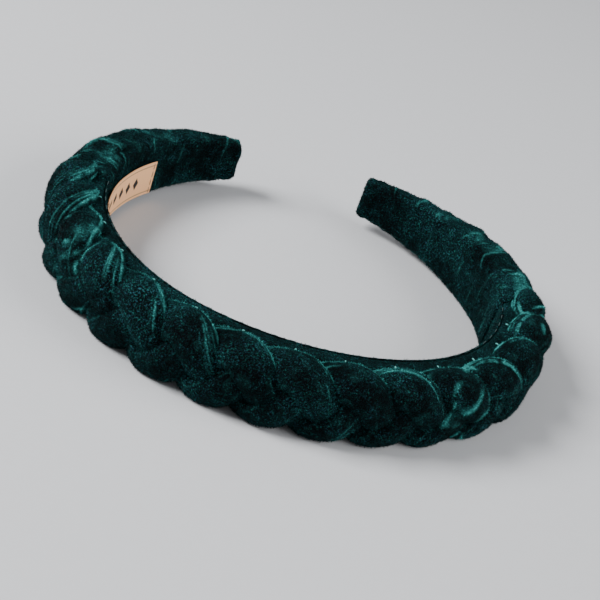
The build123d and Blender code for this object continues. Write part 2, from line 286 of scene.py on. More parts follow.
def rounded(angles, sharpness):
    """A rounded box's outline of half size 1, from round, at 2, towards square."""
    power = 2.0 / sharpness
    across = np.sign(np.cos(angles)) * np.abs(np.cos(angles)) ** power
    up = np.sign(np.sin(angles)) * np.abs(np.sin(angles)) ** power
    return across, up


END_ROUND = 2.5 * MM  # how far from a strip's end its rounding starts


def padded_strip(reach, inner, outer, half, around=48, sharpness=(6.0, 3.0)):
    """Rings of a strip along the hoop, from inner to outer offset, closed round at both ends."""
    angles = np.linspace(0, 2 * pi, around, endpoint=False)
    across, up = rounded(angles, np.where(np.cos(angles) < 0, *sharpness))
    to_end = np.minimum(reach - reach[0], reach[-1] - reach)
    shrink = np.sqrt(1 - (1 - np.clip(to_end / END_ROUND, 0.02, 1)) ** 2)
    thick = (outer - inner) / 2 * shrink
    offsets = ((inner + outer) / 2)[:, None] + thick[:, None] * across
    heights = (half * (0.4 + 0.6 * shrink))[:, None] * up
    return on_hoop(reach[:, None], offsets, heights)


def strip_stations(start, end, count, end_round=END_ROUND):
    """Arc lengths along a strip, closer together where its ends are rounded."""
    ends = end_round * (1 - np.cos(np.linspace(0, pi / 2, 7)))
    middle = np.linspace(start + end_round, end - end_round, count)
    return np.concatenate([start + ends[:-1], middle, end - ends[-2::-1]])


FOAM_YELLOWED = (0.55, 0.53, 0.47, 1)
FOAM_CREAM = (0.72, 0.7, 0.63, 1)


def foam_finish():
    """Matt cream foam, yellowed in patches, with its open cells."""
    foam = Recipe("open_cell_foam", {"Specular IOR Level": 0.2})
    where = foam.place()
    cells = foam.add("ShaderNodeTexVoronoi", {}, {"Vector": where, "Scale": 1800.0})
    fresh = foam.noise(where, scale=60.0, detail=3.0)
    foam.surface("Base Color", foam.blend(fresh, FOAM_YELLOWED, FOAM_CREAM))
    foam.surface("Roughness", 0.85 + 0.1 * fresh)
    foam.relief(cells, distance=0.2 * MM)
    return foam.material


ARM_RADIUS, ARM_DEGREES = HOOP_ARCS[-1]
FOAM_ARM_DEGREES = 16  # how far the foam runs on into the arm's arc
FOAM_REACH = HOOP_REACH - ARM_RADIUS * radians(ARM_DEGREES - FOAM_ARM_DEGREES)
FOAM_INNER = 3.22 * MM
FOAM_END = 0.9 * MM  # thickness at its skived ends
FOAM_SWELL = 1.4 * MM  # how much thicker it is elsewhere
FOAM_SKIVE = 20 * MM
FOAM_HALF = 8.4 * MM
FOAM_TIP_HALF = 4.4 * MM

reach = strip_stations(-FOAM_REACH, FOAM_REACH, 120)
skived = np.clip((FOAM_REACH - np.abs(reach)) / FOAM_SKIVE, 0, 1)
foam_rings = padded_strip(
    reach,
    inner=0 * reach + FOAM_INNER,
    outer=FOAM_INNER + FOAM_END + FOAM_SWELL * skived,
    half=tapered(reach, FOAM_HALF, FOAM_TIP_HALF),
)
foam_pad = skin("foam_pad_soft", foam_rings, foam_finish())
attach(foam_pad, "root")
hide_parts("foam_pad")


# ---- Band cover ----
# A sleeve of crushed velvet pulled over the foam and core and sewn shut at the arm tips.
# Its pile was pressed in patches, so it is darker or brighter where the nap leans.

NAP_DARK = (0.0012, 0.0014, 0.0019, 1)
NAP_BLUE = (0.034, 0.12, 0.17, 1)
NAP_GREEN = (0.018, 0.175, 0.148, 1)
# The colour of the painted sheen highlights along seams, pleats, creases and the wraps' tops.
SHEEN_LINE_GREEN = (0.11, 0.68, 0.64, 1)


def velvet_finish():
    """Nearly black where the nap stands, green where it leans, with painted glints, and a painted sheen
    highlight on edges and creases.
    """
    constants = {
        "Specular IOR Level": 0.03,
        "Sheen Weight": 0.08,
        "Sheen Roughness": 0.3,
        "Sheen Tint": (0.06, 0.5, 0.5, 1),
    }
    velvet = Recipe("crushed_velvet", constants)
    where = velvet.place()
    hands = velvet.noise(where, scale=75.0, detail=3.0)
    patches = velvet.ramp(hands, (0.42, 0.0), (0.68, 1.0))
    wrinkles = velvet.noise(where, scale=420.0, detail=4.0, roughness=0.6)
    crush = velvet.ramp(wrinkles, (0.45, 0.0), (0.75, 1.0))
    # Painted glints: sparse bright specks of the pile's tips in the base colour.
    tips = velvet.noise(where, scale=2000.0, detail=2.0, roughness=0.8)
    pile = velvet.ramp(tips, (0.36, 0.0), (0.7, 1.0))
    uptake = velvet.noise(where, scale=1500.0, detail=2.0, roughness=0.7)
    dye = velvet.ramp(uptake, (0.4, 0.0), (0.6, 1.0))
    glint = pile * pile * pile
    shade = velvet.noted("shade")
    # The painted glints of the pile and of the tufts, thinned out in random patches of crushed and leaning
    # nap.
    lean = (1.8 * glint + 0.7 * shade) * (0.07 + 0.56 * patches + 0.48 * crush)
    base = velvet.blend(lean, NAP_DARK, velvet.blend(dye, NAP_BLUE, NAP_GREEN))
    # Painted sheen: the highlights noted on the pieces' points, brighter still where the painted glints
    # are.
    worn = velvet.noted("worn") * (0.32 + 1.2 * glint + 0.9 * shade)
    velvet.surface("Base Color", velvet.blend(worn, base, SHEEN_LINE_GREEN))
    velvet.surface("Roughness", 0.7 + 0.2 * pile)
    velvet.relief(pile + 0.5 * crush, distance=0.3 * MM)
    return velvet.material


VELVET = velvet_finish()


class Pattern(Graph):
    """A Geometry Nodes tree that repeats a small shape over a piece."""

    def __init__(self, name, sizes):
        tree = bpy.data.node_groups.new(name, "GeometryNodeTree")
        tree.is_modifier = True
        super().__init__(tree)
        tree.interface.new_socket("Piece", in_out="INPUT", socket_type="NodeSocketGeometry")
        tree.interface.new_socket("Repeats", in_out="OUTPUT", socket_type="NodeSocketGeometry")
        kinds = {float: "NodeSocketFloat", int: "NodeSocketInt", bpy.types.Material: "NodeSocketMaterial"}
        for label, kind in sizes.items():
            tree.interface.new_socket(label, in_out="INPUT", socket_type=kinds[kind])
        self.entry = tree.nodes.new("NodeGroupInput")
        self.exit = tree.nodes.new("NodeGroupOutput")

    def given(self, label):
        return Wire(self, self.entry.outputs[label])

    def close(self, instances):
        """Makes the instances real, gives them their material and ends the tree."""
        real = self.add("GeometryNodeRealizeInstances", {}, {"Geometry": instances})
        sockets = {"Geometry": real, "Material": self.given("Material")}
        done = self.add("GeometryNodeSetMaterial", {}, sockets)
        self.tree.links.new(done.socket, self.exit.inputs["Repeats"])

    def grow(self, source, name, slot, values):
        """A plain mesh piece of what the tree makes on a source, which is left as it was."""
        modifier = source.modifiers.new(self.tree.name, "NODES")
        modifier.node_group = self.tree
        for item in self.tree.interface.items_tree:
            if item.in_out == "INPUT" and item.name in values:
                modifier[item.identifier] = values[item.name]
        evaluated = source.evaluated_get(bpy.context.evaluated_depsgraph_get())
        mesh = bpy.data.meshes.new_from_object(evaluated)
        source.modifiers.remove(modifier)
        mesh.name = name
        piece = bpy.data.objects.new(name, mesh)
        bpy.context.scene.collection.objects.link(piece)
        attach(piece, "root")
        return piece


SWAY = 0.7  # how far a tuft leans in each direction, next to its height of 1
GLINT_SEED = 5


def pile_pattern():
    """Short tapered tufts that stand on the cloth and lean every way a little."""
    sizes = {"Per square metre": float, "Tuft length": float, "Tuft width": float}
    pile = Pattern("velvet_pile", {**sizes, "Seed": int, "Material": bpy.types.Material})
    sockets = {"Mesh": pile.given("Piece"), "Density": pile.given("Per square metre")}
    scatter = "GeometryNodeDistributePointsOnFaces"
    points = pile.add(scatter, {}, {**sockets, "Seed": pile.given("Seed")})
    facing = Wire(pile, points.socket.node.outputs["Normal"])
    random = "FunctionNodeRandomValue"
    sway = pile.add(random, {"data_type": "FLOAT_VECTOR"}, {0: (-SWAY,) * 3, 1: (SWAY,) * 3})
    leaning = pile.add("ShaderNodeVectorMath", {"operation": "ADD"}, {0: facing, 1: sway})
    turn = pile.add("FunctionNodeAlignRotationToVector", {"axis": "Z"}, {"Vector": leaning})
    cone = {"Vertices": 3, "Radius Bottom": pile.given("Tuft width"), "Radius Top": 0.0}
    tuft = pile.add("GeometryNodeMeshCone", {}, {**cone, "Depth": pile.given("Tuft length")})
    size = pile.add(random, {"data_type": "FLOAT"}, {2: 0.6, 3: 1.3}, output=1)
    sockets = {"Points": points, "Instance": tuft, "Rotation": turn, "Scale": size}
    tufts = pile.add("GeometryNodeInstanceOnPoints", {}, sockets)
    # Each tuft gets a painted glint, most very dark and a few bright, noted for the velvet's colour.
    chance = pile.add(random, {"data_type": "FLOAT"}, {2: 0.0, 3: 1.0, "Seed": GLINT_SEED}, output=1)
    settings = {"data_type": "FLOAT", "domain": "INSTANCE"}
    sockets = {"Geometry": tufts, "Name": "shade", "Value": chance * chance * chance}
    pile.close(pile.add("GeometryNodeStoreNamedAttribute", settings, sockets))
    return pile


PILE = pile_pattern()
TUFTS = {
    "Per square metre": 4.5e6,
    "Tuft length": 0.5 * MM,
    "Tuft width": 0.085 * MM,
    "Material": VELVET,
}


def nap(piece, name, seed, share=1.0):
    """The raised pile of a velvet piece, as a piece of its own."""
    thinned = TUFTS["Per square metre"] * share
    PILE.grow(piece, name, "velvet", {**TUFTS, "Per square metre": thinned, "Seed": seed})


COVER_REACH = HOOP_REACH - ARM_RADIUS * radians(1.1)
COVER_INNER = 0.72 * MM
COVER_OUTER = 3.75 * MM  # at the tips, with only the core inside
COVER_SWELL = 3.2 * MM  # how much the foam fills it out
COVER_SLIMMING = 45 * MM
COVER_HALF = 8.6 * MM
COVER_TIP_HALF = 5.3 * MM

reach = strip_stations(-COVER_REACH, COVER_REACH, 260)
filled = np.clip((COVER_REACH - np.abs(reach)) / COVER_SLIMMING, 0, 1)
cover_rings = padded_strip(
    reach,
    inner=0 * reach + COVER_INNER,
    outer=COVER_OUTER + COVER_SWELL * filled,
    half=tapered(reach, COVER_HALF, COVER_TIP_HALF),
    around=64,
    sharpness=(9.0, 3.0),
)
band_cover = skin("band_cover_velvet", cover_rings, VELVET)
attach(band_cover, "root")
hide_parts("band_cover")
nap(band_cover, "band_cover_pile", 1, share=0.5)


# ---- Inner lining ----
# A flat strip of the same velvet, its long edges turned under, sewn over the cover's inner
# face between the two arm wraps, where it lies against the hair.

PLAIT_CENTRE = -2.7 * MM
WRAP_MOUTH = 94.5 * MM  # from the plait's centre
LINING_HALF = 8.7 * MM
LINING_PULL = 0.3 * MM  # how far the stitches draw each long edge in


LINING_SINK = 0.02 * MM  # how far it is pressed into the cover


def flat_section(thickness, half, edge_points=9, side_points=12):
    """Offsets and heights round a flat strip whose two long edges are folded over."""
    turn = np.linspace(0, pi, edge_points)
    run = np.linspace(1, -1, side_points + 2)[1:-1] * (half - thickness / 2)
    edge = thickness / 2 * np.sin(turn) + half - thickness / 2
    offsets = np.concatenate([thickness / 2 * np.cos(turn), 0 * run - thickness / 2])
    heights = np.concatenate([edge, run])
    return np.concatenate([offsets, -offsets]), np.concatenate([heights, -heights])


reach = PLAIT_CENTRE + np.linspace(-WRAP_MOUTH, WRAP_MOUTH, 220)
across, up = flat_section(LINING_THICKNESS, LINING_HALF - LINING_PULL)
offsets = across + LINING_THICKNESS / 2 - LINING_SINK
lining_rings = on_hoop(reach[:, None], offsets[None, :], up[None, :])
inner_lining = skin("inner_lining_velvet", lining_rings, VELVET)
nap(inner_lining, "inner_lining_pile", 2, share=0.4)
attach(inner_lining, "root")
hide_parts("inner_lining")


# ---- Lining stitches ----
# Slip stitches in matching thread catch the lining's two turned edges down to the cover, a
# short pull of thread every few millimetres.

THREAD_WIDTH = 0.4 * MM


def unit(vectors):
    """The same directions, one long."""
    return vectors / np.linalg.norm(vectors, axis=-1, keepdims=True)


def thread_finish(name, dark, light):
    """Two plies of spun thread, twisted together."""
    thread = Recipe(name, {"Specular IOR Level": 0.3, "Sheen Weight": 0.1})
    sockets = {"Vector": thread.place(), "Scale": 1400.0}
    twist = thread.add("ShaderNodeTexWave", {"bands_direction": "DIAGONAL"}, sockets)
    lint = thread.noise(thread.place(), scale=3000.0)
    thread.surface("Base Color", thread.blend(0.6 * twist + 0.4 * lint, dark, light))
    thread.surface("Roughness", 0.45 + 0.25 * lint)
    thread.relief(twist, distance=0.08 * MM)
    return thread.material


def stitch_pattern():
    """One short arched pull of thread, its ends down in the cloth, at every point."""
    sizes = {"Stitch length": float, "Thread width": float, "Arch": float}
    stitch = Pattern("hand_stitch", {**sizes, "Material": bpy.types.Material})
    half = stitch.given("Stitch length") * 0.5
    start = stitch.add("ShaderNodeCombineXYZ", {}, {"X": 0 - half})
    end = stitch.add("ShaderNodeCombineXYZ", {}, {"X": half})
    line = stitch.add("GeometryNodeCurvePrimitiveLine", {}, {"Start": start, "End": end})
    line = stitch.add("GeometryNodeResampleCurve", {}, {"Curve": line, "Count": 7})
    place = stitch.add("GeometryNodeSplineParameter")
    hump = (place - place * place) * 4 * stitch.given("Arch")
    lift = stitch.add("ShaderNodeCombineXYZ", {}, {"Z": hump})
    arched = stitch.add("GeometryNodeSetPosition", {}, {"Geometry": line, "Offset": lift})
    thread = {"Resolution": 6, "Radius": stitch.given("Thread width") * 0.5}
    section = stitch.add("GeometryNodeCurvePrimitiveCircle", {}, thread)
    sockets = {"Curve": arched, "Profile Curve": section, "Fill Caps": True}
    pull = stitch.add("GeometryNodeCurveToMesh", {}, sockets)
    vector = {"data_type": "FLOAT_VECTOR"}
    turn = stitch.add("GeometryNodeInputNamedAttribute", vector, {"Name": "turn"})
    rotation = stitch.add("FunctionNodeEulerToRotation", {}, {"Euler": turn})
    sockets = {"Points": stitch.given("Piece"), "Instance": pull, "Rotation": rotation}
    stitch.close(stitch.add("GeometryNodeInstanceOnPoints", {}, sockets))
    return stitch


STITCH = stitch_pattern()
GREEN_THREAD = thread_finish("green_thread", (0.003, 0.02, 0.021, 1), (0.012, 0.07, 0.07, 1))


def sew(name, places, along, outwards, length, material=GREEN_THREAD, arch=0.28 * MM, width=THREAD_WIDTH):
    """Stitches at places, each laid along a direction and standing out of the cloth."""
    along = unit(along)
    outwards = unit(outwards - along * np.sum(outwards * along, 1, keepdims=True))
    frames = np.stack([along, np.cross(outwards, along), outwards], 1)
    turns = [Matrix(rows).transposed().to_euler() for rows in frames.tolist()]
    marks = bpy.data.meshes.new(name)
    marks.from_pydata(places.tolist(), [], [])
    attribute = marks.attributes.new("turn", "FLOAT_VECTOR", "POINT")
    attribute.data.foreach_set("vector", np.array([list(turn) for turn in turns], np.float32).ravel())
    row = bpy.data.objects.new(name + "_marks", marks)
    bpy.context.scene.collection.objects.link(row)
    values = {"Stitch length": length, "Thread width": width, "Arch": arch, "Material": material}
    stitches = STITCH.grow(row, name, "thread", values)
    bpy.data.objects.remove(row)
    return stitches


STITCH_PITCH = 4.6 * MM
STITCH_LENGTH = 2.0 * MM
STITCH_CLEAR = 4 * MM  # from the lining's ends to the first stitch
STITCH_OFFSET = 0.55 * MM
STITCH_HEIGHT = LINING_HALF - LINING_PULL + 0.05 * MM
LINING_THREAD_WIDTH = 0.25 * MM
LINING_ARCH = 0.12 * MM

row_end = WRAP_MOUTH - STITCH_CLEAR
reach = np.arange(-row_end, row_end, STITCH_PITCH) + PLAIT_CENTRE
rows = []
for edge in (-1, 1):
    places = on_hoop(reach, STITCH_OFFSET, edge * STITCH_HEIGHT)
    ahead = on_hoop(reach + 1 * MM, STITCH_OFFSET, edge * STITCH_HEIGHT)
    facing = hoop(reach)[1] * -0.5 + np.array([0, 0, edge])
    rows.append((places, ahead - places, facing))
places, along, facing = (np.concatenate(columns) for columns in zip(*rows))
lining_stitches = sew(
    "lining_slip_stitches", places, along, facing, STITCH_LENGTH,
    arch=LINING_ARCH, width=LINING_THREAD_WIDTH,
)
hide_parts("lining_stitches")


# ---- Plait ----
# Three wide velvet tubes, each turned, stuffed with soft wadding and pressed flat, are
# plaited along the band's outer face. Their long seams show as bright lines at the edges,
# a sheen highlight painted into the cloth's colour.

STRANDS = 3
PERIOD = 39.6 * MM
CROSSINGS = 14  # each side of the plait's centre
STRAND_WIDE = 6.0 * MM  # half sizes of a strand's section
STRAND_THICK = 2.8 * MM
CORE_OFFSET = 5.9 * MM  # the strands wrap round an oval about an axis at this offset
CORE_DEEP = 7.7 * MM  # the oval's half sizes
CORE_HIGH = 9.0 * MM
CORE_DROP = 0.2 * MM
SWING = radians(56)  # each side, about that axis
SWING_AT_ENDS = radians(72)  # the plait closes over the band where the wraps pull it in
CLOSING_START = 52 * MM
CLOSING_END = 84 * MM
SWING_SQUARE = 0.18  # how much longer a strand stays near each edge than a plain swing would
DEPTH = 1.9 * MM
BEND = 0.075 / MM  # how much a strand curls over the oval, across its width
FLOOR_CLEAR = 0.5 * MM  # what the pile underneath is pressed down to
TAIL_OFFSET = 9.4 * MM
TAIL_LANE = 5.15 * MM
TAIL_RADIUS = 2.3 * MM
TAIL_REACH = 111.5 * MM
GATHER_START = 90 * MM  # where the strands begin to narrow into the wraps
GATHER_END = 101 * MM
PLAIT_TILT = radians(10)
CLOSED_OVER = 6  # rings at each end, where a strand is closed round
SECTION_FLAT = 3.2  # from 2, an oval, towards a flat face
SECTION_EDGE = 0.65  # from 0.5, a round edge, towards a sharp one
# Where the plait was stuffed a little fuller or slimmer, all in mm: how far past its centre,
# how long, and how much it stands out or sinks in.
FULLNESS = ((4, 27, 0.9), (-48, 15, -0.7), (86, 12, 0.7))


def smooth(value, start, end):
    """0 before start, 1 after end, and an even curve between."""
    share = np.clip((value - start) / (end - start), 0, 1)
    return share * share * (3 - 2 * share)


def strand_rings(order, count, around, size=1.0):
    """Rings round one strand, and what each station and each place on a ring is."""
    past = np.linspace(-TAIL_REACH, TAIL_REACH, count)
    start = radians(60 + 360 / STRANDS * order)
    swing = start - past / PERIOD * 2 * pi
    gathered = smooth(np.abs(past), GATHER_START, GATHER_END)
    ends = [round(sin(start - side * CROSSINGS * radians(60))) for side in (-1, 1)]
    lane = np.where(past < 0, ends[0], ends[1]) * TAIL_LANE

    widest = SWING + (SWING_AT_ENDS - SWING) * smooth(np.abs(past), CLOSING_START, CLOSING_END)
    lean = widest * np.sin(swing) * (1 + SWING_SQUARE - SWING_SQUARE * np.sin(swing) ** 2)
    depth = DEPTH * np.sin(2 * swing)
    fuller = 0
    for place, long, more in FULLNESS:
        fuller += more * MM * np.exp(-(((past / MM - place) / long) ** 2))
    offset = CORE_OFFSET + fuller + (CORE_DEEP + depth) * np.cos(lean)
    height = (CORE_HIGH + depth) * np.sin(lean) - CORE_DROP
    offset = offset * (1 - gathered) + TAIL_OFFSET * gathered
    height = height * (1 - gathered) + lane * gathered
    lean = (lean + PLAIT_TILT * np.sin(swing)) * (1 - gathered)
    line = on_hoop(PLAIT_CENTRE + past, offset, height)

    along = unit(np.gradient(line, axis=0))
    outwards = hoop(PLAIT_CENTRE + past)[1]
    facing = outwards * np.cos(lean)[:, None] + np.array([0, 0, 1.0]) * np.sin(lean)[:, None]
    facing = unit(facing - along * np.sum(facing * along, 1, keepdims=True))
    sideways = np.cross(facing, along)

    wide = size * (STRAND_WIDE * (1 - gathered) + TAIL_RADIUS * gathered)
    thick = size * (STRAND_THICK * (1 - gathered) + TAIL_RADIUS * gathered)
    end = np.minimum(np.arange(count), np.arange(count)[::-1]) / CLOSED_OVER
    closing = np.sqrt(1 - (1 - np.clip(end, 0.03, 1)) ** 2)
    angles = np.linspace(0, 2 * pi, around, endpoint=False)
    across = np.cos(angles)
    out = np.sign(np.sin(angles)) * (1 - np.abs(across) ** SECTION_FLAT) ** SECTION_EDGE
    beside = sideways[:, None, :] * (wide * closing)[:, None, None]
    rings = line[:, None, :] + beside * across[None, :, None]
    curl = BEND / 2 * (1 - gathered)[:, None] * (wide[:, None] * across[None, :]) ** 2
    rings = rings + facing[:, None, :] * ((thick * closing)[:, None] * out[None, :] - curl)[..., None]
    rings[..., 2] = np.maximum(rings[..., 2], FLOOR_CLEAR)
    return rings, swing, gathered, across, out, facing


WADDING_SHADED = (0.7, 0.7, 0.68, 1)
WADDING_WHITE = (0.86, 0.86, 0.84, 1)


def filling_finish():
    """White fluff, with painted shade between its fibres."""
    wadding = Recipe("polyester_wadding", {"Specular IOR Level": 0.2, "Sheen Weight": 0.3})
    fibres = wadding.noise(wadding.place(stretch=(1, 1, 3)), scale=900.0, detail=6.0, roughness=0.7)
    wadding.surface("Base Color", wadding.blend(fibres, WADDING_SHADED, WADDING_WHITE))
    wadding.surface("Roughness", 0.8 + 0.15 * fibres)
    wadding.relief(fibres, distance=0.4 * MM)
    return wadding.material


def ruffle(points, scale, seed):
    """Smooth noise, about -1 to 1, at each of many points, at a scale in metres."""
    shift = Vector((seed * 7.31, seed * 3.17, seed * 5.77))
    flat = [noise.noise(Vector(point) / scale + shift) for point in points.reshape(-1, 3).tolist()]
    return np.array(flat).reshape(points.shape[:-1])


# Places across a strand are in half widths of it: -1 and 1 are its edges.
PLEATS = 5  # the first is the seam
PLEAT_PITCH = 0.16  # where they are furthest apart
SEAM_AT = 0.93
SEAM_WIDE = 0.04
SEAM_HIDDEN = 0.06  # how much of the seam shows along the edge that is tucked under
PLEAT_WIDE = 0.028
PLEAT_HIGH = 0.3 * MM
CRUSH_HIGH = 0.75 * MM
CREASE_HIGH = 0.35 * MM
CREASE_WIDE = 0.45  # mm
PINCHES = ((-62, 7), (44, 8), (84, 6))  # mm past the plait's centre, and how long
STRAND_RINGS = 600
STRAND_AROUND = 128
FILLING_SIZE = 0.8  # next to its sleeve
WADDING = filling_finish()


def seam_and_pleats(order, rings, swing, free, across):
    """How far a strand's two rolled seams, and the fine pleats that the cloth gathers into beside
    them, stand out, and how bright their painted sheen highlight is. They close up where the
    strand turns over the edge."""
    stations = np.arange(len(swing))
    walk = np.stack([stations / 24, 0 * stations + 5 * order, 0 * stations], -1)
    wander = ruffle(walk, 1.0, 2)
    # Breaks up the painted sheen highlight along the seams and pleats.
    sheen_breaks = np.clip(0.8 + 1.5 * ruffle(rings, 1.6 * MM, 80 + order), 0, 1)
    proud = np.zeros(rings.shape[:2])
    bright = np.zeros(rings.shape[:2])
    for side in (1, -1):
        upper = np.clip(side * np.sin(swing) + 0.2, 0, 1)[:, None] * free
        for number in range(PLEATS):
            fades = ruffle(walk + np.array([0, 0, side * 1.7]), 0.7, number)
            spread = number * PLEAT_PITCH * (0.4 + 0.6 * np.cos(swing) ** 2)
            middle = side * (SEAM_AT - spread + 0.13 * min(number, 2) * wander)
            apart = np.abs(across[None, :] - middle[:, None])
            if number:
                shows = np.clip(2.6 * fades - 0.1 * number, 0, 1)[:, None] * upper
                ridge = np.exp(-((apart / (PLEAT_WIDE + 0.005 * number)) ** 2))
            else:
                shows = (SEAM_HIDDEN + (1 - SEAM_HIDDEN) * upper) * free
                ridge = np.exp(-((apart / SEAM_WIDE) ** 2))
            proud += shows * ridge
            bright += shows * ridge**1.4 * sheen_breaks
    return proud, bright


def pinch_creases(order, rings, free, across):
    """Where a strand was pinched as it was sewn down, and the short creases across it there."""
    past = np.linspace(-TAIL_REACH, TAIL_REACH, len(rings)) / MM
    broken = np.clip(0.2 + 2.5 * ruffle(rings, 4 * MM, 64 + order), 0, 1)
    pinched = np.zeros(rings.shape[:2])
    creased = np.zeros(rings.shape[:2])
    for number, (place, long) in enumerate(PINCHES):
        pinched += np.exp(-(((past - place) / long) ** 2))[:, None] * free
        wander = ruffle(rings, 8 * MM, 60 + number)
        for line in np.linspace(-0.7, 0.7, 4):
            bend = 2.2 * wander + 3.5 * across[None, :] * (line + 0.4)
            apart = (past[:, None] - place - line * long + bend) / CREASE_WIDE
            creased += np.exp(-(apart**2)) * broken * free
    return pinched, creased


tack_rows = []
for order in range(STRANDS):
    rings, swing, gathered, across, out, facing = strand_rings(order, STRAND_RINGS, STRAND_AROUND)
    free = (1 - gathered)[:, None]
    face = (out > -0.6)[None, :]
    proud, bright = seam_and_pleats(order, rings, swing, free, across)
    pinched, creased = pinch_creases(order, rings, free, across)
    crush = ruffle(rings, 5 * MM, 10 + order) * 0.3 + ruffle(rings, 2 * MM, 20 + order) * 0.15
    relief = PLEAT_HIGH * proud * face + CREASE_HIGH * creased
    relief = relief + (CRUSH_HIGH + 0.5 * MM * pinched) * crush * free
    sleeve = skin(
        f"strand_sleeve_{order + 1}_velvet",
        rings + facing[:, None, :] * (relief * np.sign(out + 0.3)[None, :])[..., None],
        VELVET,
    )
    # Painted sheen: highlights along the seams, pleats and pinch creases, and where the crushed cloth
    # stands out most.
    blotches = np.clip(crush - 0.12, 0, 1) * (0.5 + 1.2 * pinched)
    note(sleeve, "worn", np.clip(bright * face + 0.7 * creased + blotches, 0, 1))
    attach(sleeve, "root")
    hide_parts(f"strand_sleeve_{order + 1}")
    nap(sleeve, f"strand_sleeve_{order + 1}_pile", 10 + order)

    # A tack goes wherever the strand is furthest up or down, on the seam at that edge.
    for edge in (1, -1):
        turned = np.cos(swing - edge * pi / 2)
        peaks = np.flatnonzero((turned[1:-1] > turned[:-2]) & (turned[1:-1] >= turned[2:])) + 1
        peaks = peaks[gathered[peaks] < 0.3]
        spot = 0 if edge > 0 else len(across) // 2
        rim = rings[peaks, spot]
        inwards = rim - rings[peaks].mean(1)
        raised = rim + 0.3 * MM * facing[peaks] + 0.15 * MM * unit(inwards)
        tack_rows.append((raised, inwards, facing[peaks] - 0.6 * unit(inwards)))

    rings = strand_rings(order, 280, 24, size=FILLING_SIZE)[0]
    filling = skin(f"strand_filling_{order + 1}_wadding", rings, WADDING)
    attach(filling, "root")
    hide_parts(f"strand_filling_{order + 1}")


# ---- Tail bindings ----
# Under each arm wrap the three flattened tails lie side by side, whipped round with four
# turns of thread so that the plait can't loosen.

BINDING_REACH = 105 * MM  # from the plait's centre
BINDING_PITCH = 0.9 * MM
BINDING_TURNS = 4
TURN_STEPS = 56
BINDING_CLEAR = 0.6 * THREAD_WIDTH  # from the tails to the middle of the thread
NEVER_ALONG = np.array([0.3, 0.2, 0.93])  # a direction that the thread never follows


def cord_rings(points, radius, around=8):
    """Rings of a round thread that follows points."""
    along = unit(np.gradient(points, axis=0))
    beside = unit(np.cross(along, NEVER_ALONG))
    above = np.cross(along, beside)
    angles = np.linspace(0, 2 * pi, around, endpoint=False)
    spokes = beside[:, None, :] * np.cos(angles)[None, :, None]
    spokes = spokes + above[:, None, :] * np.sin(angles)[None, :, None]
    return points[:, None, :] + radius * spokes


for side, name in ((-1, "left"), (1, "right")):
    turns = np.linspace(0, BINDING_TURNS, BINDING_TURNS * TURN_STEPS + 1)
    angle = 2 * pi * turns
    reach = PLAIT_CENTRE + side * (BINDING_REACH + turns * BINDING_PITCH)
    deep = (TAIL_RADIUS + BINDING_CLEAR) * np.cos(angle)
    high = TAIL_LANE * np.clip(1.6 * np.sin(angle), -1, 1)
    high = high + (TAIL_RADIUS + BINDING_CLEAR) * np.sin(angle)
    rings = cord_rings(on_hoop(reach, TAIL_OFFSET + deep, high), THREAD_WIDTH / 2)
    binding = skin(f"tail_whipping_{name}", rings, GREEN_THREAD)
    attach(binding, "root")
    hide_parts(f"tail_binding_{name}")


# ---- Plait tacks ----
# At every loop along both edges a small stitch catches the strand's seam down to the cover.
# Its thread is a little brighter than the pile that it sinks into.

TACK_THREAD = thread_finish("bright_thread", (0.07, 0.38, 0.37, 1), (0.2, 0.66, 0.62, 1))
TACK_LENGTH = 1.1 * MM
TACK_ARCH = 0.45 * MM

places, along, facing = (np.concatenate(columns) for columns in zip(*tack_rows))
plait_tacks = sew("plait_tack_stitches", places, along, facing, TACK_LENGTH, TACK_THREAD, arch=TACK_ARCH)
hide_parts("plait_tacks")


# ---- Arm wraps ----
# A plain piece of velvet is wrapped over each arm and sewn shut on the inner face. It hides
# the strands' bound tails, and its mouth is hemmed and pulled snug over the plait.

WRAP_LAP = 2.2 * MM  # how far the mouth laps over the plait
# Past the mouth: half height, how far the middle rides up, and thickness, all in mm.
WRAP_SHAPE = (
    (-3, 9.5, 0.2, 14.3), (3, 10.1, 0.3, 15.5), (10, 10.4, 0.4, 15.6), (20, 10.4, 0.4, 14.2),
    (34, 9.6, 0.5, 11.5), (46, 8.5, 0.8, 9.3), (56, 7.4, 1.1, 7.5), (70, 6.6, 1.4, 6.1),
)
WRAP_INNER = {-1: -0.35 * MM, 1: -1.0 * MM}  # just over the lining, and fuller on the right
WRAP_SLANT = {-1: 0, 1: 5 * MM}  # how much further the mouth reaches on the inner face
# Creases round the arm, all in mm: how far past the mouth, how wide, and how high.
WRAP_CREASES = (
    (-0.4, 0.5, 0.5), (1.6, 0.45, 0.45), (3.7, 0.5, 0.5), (6.4, 0.5, 0.4), (10.5, 0.8, 0.5), (17, 1.6, 0.9),
    (24, 1.0, 0.6), (31, 1.7, 1.0), (41, 1.2, 0.8), (48.5, 1.6, 0.8), (57.5, 1.2, 0.8),
)
CREASE_LINE = 0.3  # mm, how wide the painted highlight line on a crease is
WRAP_RINGS = 190
WRAP_AROUND = 120
HEM_ROUND = 1.2 * MM
SWELL = 0.5 * MM  # how far the cloth's soft swells, its wrinkles and its frayed tip stand out
WRINKLE = 0.25 * MM
FRAY = 1.1 * MM
FRAY_LENGTH = 8 * MM
SEAM_ANGLE = radians(222)  # round the arm, the lower corner of its inner face
SEAM_CLEAR = 3 * MM  # from the wrap's ends to the first and last stitch
WRAP_THREAD_WIDTH = 0.3 * MM


